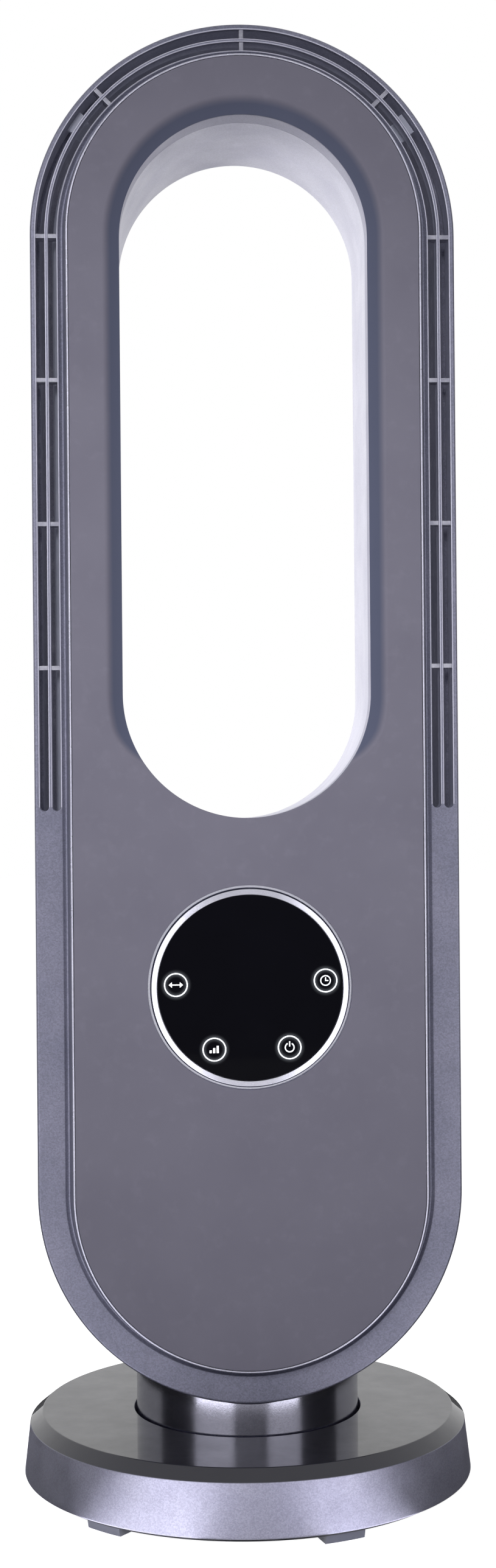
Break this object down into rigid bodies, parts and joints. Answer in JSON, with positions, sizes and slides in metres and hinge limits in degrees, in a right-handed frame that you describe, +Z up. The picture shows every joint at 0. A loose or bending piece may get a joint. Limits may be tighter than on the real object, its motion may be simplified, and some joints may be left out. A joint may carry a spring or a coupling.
{
  "type": "tower fan",
  "caption": "Tower fan with an oblong open air loop, twin front air slots, round touch panel, short neck and round weighted swinging base.",
  "frame": {"origin": "on the floor, on the swing axis at the middle of the round base", "axes": "+Z up along the swing axis and the height, -Y towards the front with the touch panel, +X to the viewer's right when facing the front"},
  "size_m": [0.2544, 0.2544, 0.8099],
  "materials": {
    "frame_plastic": "satin metallic lavender-grey lacquer on ABS, fine flake",
    "panel_plastic": "fine matte dark lavender-grey ABS",
    "liner_plastic": "smooth satin pale grey ABS",
    "inner_plastic": "plain moulded dark grey ABS",
    "grille_plastic": "matte dark grey ABS",
    "bright_ring": "bright satin chromed ring",
    "touch_glass": "high-gloss black acrylic",
    "icon_print": "white print, softly lit",
    "circuit_board": "green solder resist",
    "spring_brass": "bright plated spring wire",
    "lamp_lens": "milky lamp lens",
    "electronics": "component cases",
    "motor_metal": "die-cast aluminium",
    "damper_rubber": "soft black rubber",
    "screw_steel": "zinc-plated steel",
    "screw_black": "blackened steel",
    "neck_plastic": "satin metallic grey lacquer on ABS",
    "gear_plastic": "natural acetal",
    "lead_sheath": "black cable sheath",
    "fan_plastic": "glass-filled nylon",
    "nut_brass": "turned brass",
    "shaft_steel": "ground steel",
    "base_plastic": "glossy metallic grey lacquer on ABS",
    "plate_plastic": "matte black ABS",
    "ballast_iron": "raw grey iron",
    "foot_rubber": "soft grey rubber",
    "gland_rubber": "soft black rubber"
  },
  "bodies": {
    "base": {"base_cover": "base_plastic", "base_plate": "plate_plastic", "ballast_ring": "ballast_iron", "ballast_screws": "screw_steel", "rubber_feet": "foot_rubber", "base_screws": "screw_steel", "cord_gland": "gland_rubber", "terminal_block": "gear_plastic", "thrust_washer": "gear_plastic", "retaining_washer": "shaft_steel", "retaining_screws": "screw_steel", "swing_motor": "motor_metal", "swing_motor_screws": "screw_steel"},
    "head": {"front_frame": "frame_plastic", "front_panel": "panel_plastic", "loop_trim": "liner_plastic", "loop_liner": "liner_plastic", "rear_shell": "frame_plastic", "rear_cover": "frame_plastic", "air_guide": "inner_plastic", "inlet_grille": "grille_plastic", "scroll_housing": "inner_plastic", "control_bezel": "bright_ring", "control_glass": "touch_glass", "touch_icons": "icon_print", "control_carrier": "inner_plastic", "control_board": "circuit_board", "touch_springs": "spring_brass", "icon_lamps": "lamp_lens", "power_board": "circuit_board", "power_parts": "electronics", "motor_can": "motor_metal", "motor_dampers": "damper_rubber", "motor_screws": "screw_steel", "case_screws": "screw_black", "neck_collar": "neck_plastic", "neck_screws": "screw_steel", "mast_screws": "screw_steel", "turntable": "gear_plastic", "swing_lead": "lead_sheath"},
    "rotor": {"impeller": "fan_plastic", "impeller_nut": "nut_brass", "motor_shaft": "shaft_steel"},
    "pinion": {"swing_pinion": "gear_plastic"}
  },
  "joints": [
    {"name": "swing", "type": "hinge", "parent": "base", "child": "head", "pos_m": [0, 0, 0.03], "axis": [0, 0, 1], "range_deg": [-40, 40]},
    {"name": "blower_spin", "type": "hinge", "parent": "head", "child": "rotor", "pos_m": [0, 0.04, 0.185], "axis": [0, 1, 0], "continuous": true},
    {"name": "pinion_spin", "type": "hinge", "parent": "base", "child": "pinion", "pos_m": [0, -0.0375, 0.03], "axis": [0, 0, 1], "range_deg": [-160, 160]}
  ],
  "couplings": [
    {"joint": "pinion_spin", "follows": "swing", "ratio": -4}
  ]
}
